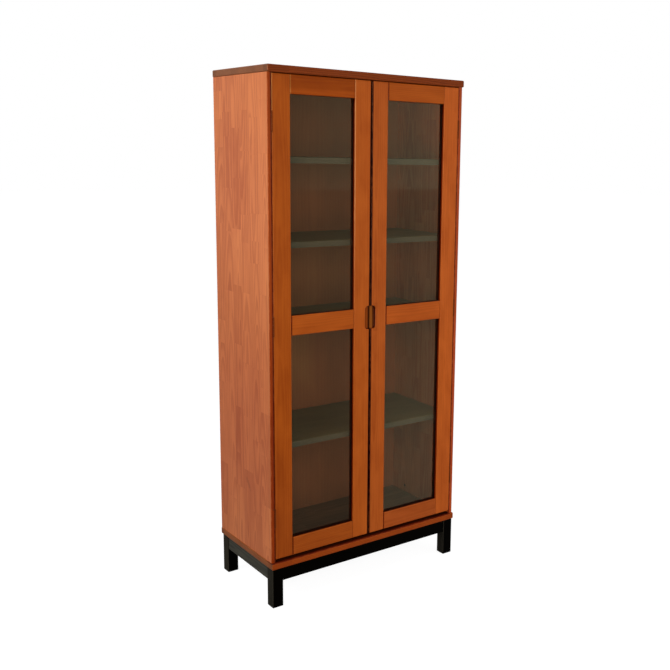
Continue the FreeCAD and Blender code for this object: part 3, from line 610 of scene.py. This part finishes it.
RIGHT_SIDE_TONE_AND_LIGHT = (                  # inside the case: all of it less red and greyer, painted shade near the doors, painted light at mid height
    StainOrLight((RIGHT_LINING[0], FRONT + 0.002, 0.0), (RIGHT_LINING[1], BEHIND_BACK, 1.50),
          (0.001, 0.002, 0.20), (0.70, 1.12, 1.60)),
    StainOrLight((RIGHT_LINING[0], FRONT + 0.002, 0.0), (RIGHT_LINING[1], -0.02, 1.50),
          (0.001, 0.10, 0.20), (0.80, 0.84, 0.92)),
    StainOrLight((RIGHT_LINING[0], 0.00, 1.0), (RIGHT_LINING[1], BEHIND_BACK, 1.24),
          (0.001, 0.05, 0.08), (1.25, 1.20, 1.30)),
)
LEFT_SKIN = (LEFT_OF_CASE, OUTER_LEFT + 0.001)               # left side panel's outer face
LEFT_SIDE_PAINTED_LIGHT = (                   # painted light on the outer face: darker low down, lighter with a painted sheen higher up
    StainOrLight((LEFT_SKIN[0], -0.15, 0.30), (LEFT_SKIN[1], BEHIND_BACK, 0.95),
          (0.0005, 0.10, 0.20), (0.90, 0.82, 0.86)),
    StainOrLight((LEFT_SKIN[0], -0.30, 1.10), (LEFT_SKIN[1], BEHIND_BACK, 1.55),
          (0.0005, 0.10, 0.20), (1.06, 1.09, 1.20)),
)
LEFT_SIDE_KNOTS = (                    # one on the outer face, two on the front edge
    Knot((OUTER_LEFT, -0.027, 0.406), (0.62, 0.0, 0.0), (0.02, 0.010, 0.034), 0.30),
    Knot((OUTER_LEFT + 0.009, FRONT, 0.425), (0.0, 0.0, 0.0), (0.004, 0.02, 0.0035), 0.75),
    Knot((OUTER_LEFT + 0.009, FRONT, 0.361), (0.0, 0.0, 0.0), (0.004, 0.02, 0.0035), 0.75),
)
EDGE_STAINS = {                        # front edges of the side panels: whole, and lower half
    "left": ((0.56, 0.28, 0.02), (0.87, 0.73, 0.50)),
    "right": ((0.68, 0.40, 0.20), (1.15, 1.10, 1.30)),
}
EDGE_DEPTH = 0.0024                    # how far in those stains go
EDGE_HALFWAY = 0.95                    # height at which the lower half ends
CASE_GAP_PAINTED_SHADE = (0.45, 0.20, 0.10)    # painted shade along the gaps between the doors and the case
BACK_PAINTED_LIGHT = (                        # painted light: paler parts, low on the left and at mid height
    StainOrLight((BOARD_LEFT, BEHIND_DOORS, 0.68), (-0.02, BEHIND_BACK, 0.98), (0.05, 0.01, 0.08),
          (1.20, 1.45, 1.35)),
    StainOrLight((BOARD_LEFT, BEHIND_DOORS, 1.00), (-BOARD_LEFT, BEHIND_BACK, 1.24),
          (0.05, 0.01, 0.08), (1.10, 1.25, 1.25)),
)
SHELF_STAINS = (                       # front edges
    StainOrLight((LEFT_OF_CASE, BEFORE_CASE, 0.0),
          (RIGHT_OF_CASE, SHELF_FRONT + 0.0005, ABOVE_CASE), FINE_RIM, (0.62, 0.68, 0.92)),
)


def edge_stains_and_shade(side):
    """Front edge of a side panel, deeper on its lower half, with painted shade along the gap to
    the door.
    """
    if side == "left":
        edge = (LEFT_OF_CASE, INNER_LEFT + 0.0005)
        gap = (INNER_LEFT - 0.004, INNER_LEFT + 0.001)
    else:
        edge = (INNER_RIGHT - 0.0005, RIGHT_OF_CASE)
        gap = (INNER_RIGHT - 0.001, INNER_RIGHT + 0.0025)
    whole, lower = EDGE_STAINS[side]
    return (StainOrLight(*front_strip(*edge, EDGE_DEPTH), SOFT_RIM, whole),
            StainOrLight(*front_strip(*edge, EDGE_DEPTH, BELOW_CASE, EDGE_HALFWAY),
                  (0.001, 0.001, 0.30), lower),
            StainOrLight(*front_strip(*gap, 0.020), FINE_RIM, CASE_GAP_PAINTED_SHADE))


def finish_boards():
    """Top board and bottom board."""
    wood("top_board", "yzx", CASE_LIGHT, CASE_DARK, 11, BOARD_WOOD, stains_and_light=TOP_BOARD_PAINTED_SHEEN)
    wood("bottom_board", "yzx", PLINTH_LIGHT, PLINTH_DARK, 23, BOARD_WOOD,
         stains_and_light=BOTTOM_BOARD_STAINS_AND_LIGHT)


def finish_side_panels():
    """Side panels, glued up from staves."""
    wood("side_panel_left", "yxz", SIDE_LIGHT, SIDE_DARK, 5, SIDE_WOOD,
         stains_and_light=edge_stains_and_shade("left") + LEFT_SIDE_PAINTED_LIGHT, knots=LEFT_SIDE_KNOTS)
    wood("side_panel_right", "yxz", SIDE_LIGHT, SIDE_DARK, 37, SIDE_WOOD,
         stains_and_light=edge_stains_and_shade("right") + RIGHT_SIDE_TONE_AND_LIGHT)


def finish_back():
    """Back panel."""
    wood("back_panel", "xyz", BACK_LIGHT, BACK_DARK, 41, BACK_WOOD, stains_and_light=BACK_PAINTED_LIGHT)


def finish_shelves():
    """Four shelves, stained olive."""
    for seed, shelf in ((51, "lower"), (52, "middle"), (53, "upper"), (54, "top")):
        wood("shelf_" + shelf, "yzx", SHELF_LIGHT, SHELF_DARK, seed, SHELF_WOOD,
             stains_and_light=SHELF_STAINS)


# ---- base ------------------------------------------------------------------------
LEG_WOOD = Wood(rings=0.3, rough=0.40, wear=0.04, gloss=0.015)
RAIL_WOOD = LEG_WOOD._replace(gloss=0.02)
LEG_PAINTED_SHEEN = (23.0, 31.0, 47.0)        # painted sheen that turns the legs' left faces dark grey
RAIL_PAINTED_SHEEN = (55.0, 81.0, 135.0)      # the same painted sheen on the left rail
SHEEN_SKIN = 0.002                    # how deep those painted sheens go in from the left
PAST_LEG, PAST_RAIL = 0.01, 0.1        # how far they reach past the piece
ABOVE_BASE = 0.2


def finish_legs():
    """Four black legs, with a painted sheen on their left faces."""
    for number, leg in enumerate(("front_left", "front_right", "back_left", "back_right")):
        low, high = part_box("leg_" + leg)
        wear_and_sheen = StainOrLight((low[0] - PAST_LEG, low[1] - PAST_LEG, -PAST_LEG),
                       (low[0] + SHEEN_SKIN, high[1] + PAST_LEG, ABOVE_BASE), 0.0005,
                       LEG_PAINTED_SHEEN)
        wood("leg_" + leg, "xyz", BASE_LIGHT, BASE_DARK, 60 + number, LEG_WOOD,
             stains_and_light=(wear_and_sheen,))


def finish_base_rails():
    """Four black rails between the legs; the left one has a painted sheen on its left face."""
    for number, (rail, grain) in enumerate((("front", "zyx"), ("back", "zyx"),
                                            ("left", "zxy"), ("right", "zxy"))):
        low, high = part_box("base_rail_" + rail)
        wear_and_sheen = StainOrLight((low[0] - PAST_LEG, low[1] - PAST_RAIL, 0.0),
                       (low[0] + SHEEN_SKIN, high[1] + PAST_RAIL, ABOVE_BASE),
                       (0.0005, 0.12, 0.02), RAIL_PAINTED_SHEEN)
        wood("base_rail_" + rail, grain, BASE_LIGHT, BASE_DARK, 70 + number, RAIL_WOOD,
             stains_and_light=(wear_and_sheen,) if rail == "left" else ())


# ---- doors -----------------------------------------------------------------------
DOOR_WOOD = Wood(rings=0.16, fibre=0.42, cloud=0.75, rough=0.30, lean=0.012,
                 ring_gap=0.006, wear=0.2, gloss=0.06)
BEAD_WOOD = Wood(rings=0.2)
STILE_PAINTED_SHADE = (0.52, 0.24, 0.10)       # painted shade on the narrow faces of the stiles, at the front
RAIL_PAINTED_SHADE = (0.16, 0.05, 0.03)        # painted shade on the narrow faces of the rails, at the front
GAP_PAINTED_SHADE = (0.08, 0.015, 0.01)        # painted shade along the gap between the doors
JOINT_STAIN = (0.30, 0.12, 0.06)       # lines where rails meet stiles
ARRIS_PAINTED_HIGHLIGHT = (1.35, 2.4, 6.5)         # painted highlights along arrises that face the left light

# each stick's own tone, with painted light: the right door's members lighter than the left
# door's, as the light falls from the right front
DOOR_TONES_AND_LIGHT = {
    "left_hinge_stile": (0.84, 0.81, 0.55), "left_meeting_stile": (0.99, 1.00, 0.95),
    "left_top_rail": (0.76, 0.66, 0.34), "left_mid_rail": (0.90, 0.87, 0.70),
    "left_bottom_rail": (0.78, 0.76, 0.70), "right_hinge_stile": (1.10, 1.09, 1.26),
    "right_meeting_stile": (0.97, 0.98, 1.12), "right_top_rail": (0.90, 0.88, 0.70),
    "right_mid_rail": (1.00, 0.96, 0.98), "right_bottom_rail": (0.86, 0.84, 1.12),
}
STILE_STAINS_AND_LIGHT = {
    "left_hinge_stile": (              # darker foot; painted highlight on the arris at the top
        StainOrLight((LEFT_OF_CASE, BEFORE_DOORS, -0.4), (-0.3, BEHIND_DOORS, 0.46),
              (0.01, 0.01, 0.18), (0.84, 0.80, 0.95)),
        StainOrLight(*front_strip(LEFT_OF_CASE, DOORS_LEFT + 0.002, 0.003, 1.66),
              (0.0005, 0.0005, 0.06), ARRIS_PAINTED_HIGHLIGHT),
    ),
    "left_meeting_stile": (            # painted shade in the gap and on the left half of the pull's floor; painted arris highlight
        StainOrLight(*front_strip(GAP_LEFT - 0.0043, 0.0, 0.009), FINE_RIM, GAP_PAINTED_SHADE),
        StainOrLight(*front_strip(-0.1, RAIL_ENDS["left"][1] + 0.0025, 0.003, 1.25),
              (0.0005, 0.0005, 0.30), ARRIS_PAINTED_HIGHLIGHT),
        StainOrLight(*pull_strip(-0.030, -0.001, 0.0030), SOFT_RIM, (0.44, 0.38, 0.20)),
    ),
    "right_meeting_stile": (           # painted shade in the gap, wide and deep, on the pull's floor and on its right wall
        StainOrLight(*front_strip(0.0, GAP_RIGHT + 0.0042, 0.0025), FINE_RIM, GAP_PAINTED_SHADE),
        StainOrLight(*front_strip(0.0, GAP_RIGHT + 0.0011, 0.009), FINE_RIM, GAP_PAINTED_SHADE),
        StainOrLight(*PULL_FLOOR, 0.0005, (0.60, 0.80, 0.6)),
        StainOrLight(*pull_strip(0.0140, 0.030, 0.0010), 0.002, (0.16, 0.01, 0.005)),
    ),
}
LEFT_LINE, RIGHT_LINE = 0.0030, 0.0012 # widths of the joint lines at a rail's ends
RAIL_TENON = 0.1                       # room for the tenon, which lies in the stile
SHADED_EDGE = (0.78, 0.74, 0.60)       # painted shadow of the top board on the upper part of the left top rail
SHADED_HEIGHT = 0.042


def rail_stains_and_light(node):
    """Lines at a rail's joints with the stiles; the left top rail has a painted highlight on the
    left and a painted shadow on its upper part instead."""
    left, right = RAIL_ENDS[node.split("_")[0]]
    left_end = ((left - RAIL_TENON, BEFORE_DOORS, 0.0),
                (left + LEFT_LINE, BEHIND_DOORS, ABOVE_CASE))
    right_end = ((right - RIGHT_LINE, BEFORE_DOORS, 0.0),
                 (right + RAIL_TENON, BEHIND_DOORS, ABOVE_CASE))
    if node == "left_top_rail":
        upper = ((LEFT_OF_CASE, BEFORE_DOORS, DOORS_TOP - SHADED_HEIGHT),
                 (0.0, BEHIND_DOORS, ABOVE_CASE))
        return (StainOrLight(*left_end, FINE_RIM, ARRIS_PAINTED_HIGHLIGHT),
                StainOrLight(*upper, (0.001, 0.001, 0.006), SHADED_EDGE))
    return StainOrLight(*left_end, FINE_RIM, JOINT_STAIN), StainOrLight(*right_end, FINE_RIM, JOINT_STAIN)


def finish_frame_members():
    """Stiles and rails of the doors, each cut from its own stick."""
    for number, (node, tone) in enumerate(DOOR_TONES_AND_LIGHT.items()):
        seed = 80 + 3 * number
        if node.endswith("stile"):
            wood(node, "xyz", DOOR_LIGHT, DOOR_DARK, seed, DOOR_WOOD, tone=tone,
                 stains_and_light=STILE_STAINS_AND_LIGHT.get(node, ()), narrow=STILE_PAINTED_SHADE)
        else:
            wood(node, "zyx", DOOR_LIGHT, DOOR_DARK, seed, DOOR_WOOD, tone=tone,
                 stains_and_light=rail_stains_and_light(node), narrow=RAIL_PAINTED_SHADE)


def finish_glazing():
    """Panes, and the beads that hold them."""
    for side in SIDES:
        # the beads take the deep painted shade as their whole colour
        wood(side + "_glass_beads", "xyz", DOOR_LIGHT, DOOR_DARK, 120, BEAD_WOOD,
             tone=DEEP_PAINTED_SHADE)
    smoked_glass([f"{side}_{pane}_glass" for side in SIDES for pane in ("upper", "lower")])


# ---- fittings --------------------------------------------------------------------

def finish_hinges():
    """Leaves, pins and screws of the hinges."""
    kinds = ("leaves", "hinge_pins", "leaf_screws")
    hinges = [name for name in NODES if any(kind in name for kind in kinds)]
    skin("brown_lacquer", hinges, LACQUER_LIGHT, LACQUER_DARK, 0.40, gloss=0.06)


def finish_fittings():
    """Zinc plates, supports and screws, brown cams and catches, black glides."""
    zinc = ["shelf_supports", "catch_screws", "back_panel_screws", "base_screws", "cam_bolts"]
    zinc += [f"{side}_strike_{piece}" for side in SIDES for piece in ("plate", "screw")]
    metal("zinc_plate", zinc, ZINC_LIGHT, ZINC_DARK, 0.28)
    skin("brown_cams", ["cam_locks"], CAM_LIGHT, CAM_DARK, 0.45, gloss=0.1)
    skin("brown_catch", ["magnetic_catches"], CATCH_LIGHT, CATCH_DARK, 0.42)
    skin("black_nylon", ["leg_glides"], NYLON_LIGHT, NYLON_DARK, 0.5)


def finish_dowels():
    """Beech dowels."""
    wood("panel_dowels", "xyz", BEECH_LIGHT, BEECH_DARK, 131, Wood())
    wood("base_dowels", "xyz", BEECH_LIGHT, BEECH_DARK, 137, Wood())


# ---- camera ------------------------------------------------------------------------
IMAGE_PX = 670.0
SENSOR_MM = 36.0
FOCAL_PX = 918.604
AXIS_PX = (448.023, 314.439)           # where the lens axis meets the picture
YAW, PITCH, ROLL = (math.radians(angle) for angle in (39.0865, -9.9184, 1.3704))
EYE = Vector((-1.81004, -2.85815, 1.56959))


def add_camera():
    """Camera turned by yaw, pitch and roll, with the lens axis off the picture's middle."""
    ahead = Vector((math.sin(YAW) * math.cos(PITCH), math.cos(YAW) * math.cos(PITCH),
                    math.sin(PITCH)))
    right = Vector((math.cos(YAW), -math.sin(YAW), 0.0))
    up = right.cross(ahead)
    rolled_right = math.cos(ROLL) * right + math.sin(ROLL) * up
    rolled_up = math.cos(ROLL) * up - math.sin(ROLL) * right
    data = bpy.data.cameras.new("camera")
    data.sensor_width = SENSOR_MM
    data.lens = FOCAL_PX / IMAGE_PX * SENSOR_MM
    data.shift_x = (IMAGE_PX / 2 - AXIS_PX[0]) / IMAGE_PX
    data.shift_y = (AXIS_PX[1] - IMAGE_PX / 2) / IMAGE_PX
    camera = bpy.data.objects.new("camera", data)
    turn = Matrix((rolled_right, rolled_up, -ahead)).transposed().to_4x4()
    camera.matrix_world = Matrix.Translation(EYE) @ turn
    bpy.context.scene.collection.objects.link(camera)
    bpy.context.scene.camera = camera


# ---- room and floor ------------------------------------------------------------------
BACKDROP = 1.0                         # brightness of the empty background
ROOM = 0.32                            # brightness of the room that lights the object
MIRRORED_WALLS = (0.23, 0.64, 0.80)    # brightness of the room in gloss and glass: on the
                                       # left, on the right, and behind the object
MIRRORED_FLOOR = (0.18, 0.38, 0.35)    # the same for the floor
RISE = (0.44, 0.68)                    # where both rise to the right, as a sine
TURN = (0.1, 0.5)                      # where the part behind begins, as a sine
FLOOR_SIZE = 60.0
FLOOR_GLOW = 0.93                      # brightness that the floor has of itself
FLOOR_SEEN = 0.24                      # what it adds of the light on it, as it is seen
FLOOR_LIT = 0.35                       # how much light it throws back


def by_ray(g, seen, lighting, mirrored):
    """`seen` for what the camera sees, also through clear glass, `mirrored` for gloss and
    `lighting` for light that bounces."""
    path = g.node("ShaderNodeLightPath").outputs
    undimmed = g.math("LESS_THAN", path["Diffuse Depth"], 0.5)
    unmirrored = g.math("LESS_THAN", path["Glossy Depth"], 0.5)
    through = g.math("MULTIPLY", path["Is Transmission Ray"], undimmed)
    direct = g.math("MAXIMUM", path["Is Camera Ray"], g.math("MULTIPLY", through, unmirrored))
    glossy = g.math("MAXIMUM", g.math("MULTIPLY", path["Is Glossy Ray"], undimmed), through)
    change = g.math("SUBTRACT", mirrored, lighting)
    bounced = g.math("ADD", lighting, g.math("MULTIPLY", glossy, change))
    gap = g.math("SUBTRACT", seen, bounced)
    return g.math("ADD", bounced, g.math("MULTIPLY", direct, gap))


def mirrored_room(g, aside, ahead, ends):
    """Brightness that gloss and glass see in a level direction: in front it rises to the
    right, and behind the object it has a value of its own."""
    length = g.vector("LENGTH", g.join(aside, ahead, 0.0))
    left, right, back = ends
    front = g.smooth(g.math("DIVIDE", aside, length), *RISE, left, right)
    behind = g.smooth(g.math("DIVIDE", ahead, length), *TURN)
    change = g.math("SUBTRACT", back, front)
    return g.math("ADD", front, g.math("MULTIPLY", behind, change))


def add_room():
    """White backdrop, an even and dimmer room light, and the room that gloss mirrors."""
    world = bpy.data.worlds.new("studio")
    bpy.context.scene.world = world
    world.use_nodes = True
    world.node_tree.nodes.clear()
    g = Graph(world.node_tree)
    shade = g.node("ShaderNodeBackground")
    shade.inputs["Color"].default_value = (*WHOLE, 1.0)
    aside, ahead, _ = g.split(g.node("ShaderNodeTexCoord").outputs["Generated"])
    g.feed(shade.inputs["Strength"],
           by_ray(g, BACKDROP, ROOM, mirrored_room(g, aside, ahead, MIRRORED_WALLS)))
    g.feed(g.node("ShaderNodeOutputWorld").inputs["Surface"], shade.outputs[0])


def add_floor():
    """Plain pale floor."""
    half = FLOOR_SIZE / 2
    mesh = bpy.data.meshes.new("floor")
    corners = [(-half, -half, 0.0), (half, -half, 0.0), (half, half, 0.0), (-half, half, 0.0)]
    mesh.from_pydata(corners, [], [(0, 1, 2, 3)])
    floor = bpy.data.objects.new("floor", mesh)
    bpy.context.scene.collection.objects.link(floor)
    material = bpy.data.materials.new("pale_floor")
    material.use_nodes = True
    material.node_tree.nodes.clear()
    g = Graph(material.node_tree)
    matt = g.node("ShaderNodeBsdfDiffuse")
    g.feed(matt.inputs["Color"], by_ray(g, FLOOR_SEEN, FLOOR_LIT, 0.0))
    glow = g.node("ShaderNodeEmission")
    across, ahead, _ = g.split(g.node("ShaderNodeTexCoord").outputs["Object"])
    mirrored = mirrored_room(g, across, g.math("SUBTRACT", ahead, FRONT), MIRRORED_FLOOR)
    g.feed(glow.inputs["Strength"], by_ray(g, FLOOR_GLOW, 0.0, mirrored))
    both = g.node("ShaderNodeAddShader")
    g.feed(both.inputs[0], matt.outputs[0])
    g.feed(both.inputs[1], glow.outputs[0])
    g.feed(g.node("ShaderNodeOutputMaterial").inputs["Surface"], both.outputs[0])
    mesh.materials.append(material)


# ---- lamps ---------------------------------------------------------------------------

def add_softbox(name, place, target, size, power, mirrored=True, lights=True, tint=WHOLE,
                on=()):
    """Rectangular lamp at a place, turned to a target; a lamp that isn't mirrored lights
    surfaces without a gloss of its own on them, and one that only is mirrored gives gloss
    and no light. `on` names the nodes that it shines on, when it isn't all of them."""
    data = bpy.data.lights.new(name, "AREA")
    data.shape = "RECTANGLE"
    data.size, data.size_y = size
    data.energy = power
    data.color = tint
    lamp = bpy.data.objects.new(name, data)
    lamp.location = place
    lamp.rotation_mode = "QUATERNION"
    lamp.rotation_quaternion = (Vector(target) - Vector(place)).to_track_quat("-Z", "Y")
    lamp.visible_glossy = mirrored
    lamp.visible_transmission = mirrored and lights
    lamp.visible_diffuse = lights
    if on:
        pieces = bpy.data.collections.new(name + "_pieces")
        for node in on:
            pieces.objects.link(NODES[node])
        lamp.light_linking.receiver_collection = pieces
    bpy.context.scene.collection.objects.link(lamp)


def add_lights():
    """Soft key from the left above, and two broad fills from the front."""
    add_softbox("key", (-2.6, 0.0, 2.65), (-0.4, 0.0, 1.5), (2.4, 1.9), 56.0)
    add_softbox("fill", (1.9, -3.4, 1.5), (0.1, 0.0, 1.0), (3.0, 2.6), 40.0, mirrored=False)
    add_softbox("front", (-1.5, -3.6, 1.5), (0.1, 0.0, 0.95), (3.0, 2.6), 52.0, mirrored=False)


def add_warm_lights():
    """From the front left, a warm gloss on all but the glass, and warm light inside the case."""
    stand = ((-3.2, -1.9, 1.3), (0.0, 0.0, 1.1), (1.8, 1.9))
    opaque = [name for name in NODES if not name.endswith("_glass")]
    add_softbox("sheen", *stand, 270.0, lights=False, tint=(1.0, 0.58, 0.34), on=opaque)
    inside = [name for name in NODES if name.startswith("shelf_")]
    inside += ["side_panel_right", "back_panel"]
    add_softbox("warm", *stand, 72.0, mirrored=False, tint=(1.0, 0.60, 0.45), on=inside)


def set_colours():
    """Plain display of colours."""
    view = bpy.context.scene.view_settings
    view.view_transform = "Standard"
    view.look = "None"
    view.exposure = 0.0
    view.gamma = 1.0


add_camera()
finish_boards()
finish_side_panels()
finish_back()
finish_shelves()
finish_legs()
finish_base_rails()
finish_frame_members()
finish_glazing()
finish_hinges()
finish_fittings()
finish_dowels()
add_room()
add_floor()
add_lights()
add_warm_lights()
set_colours()
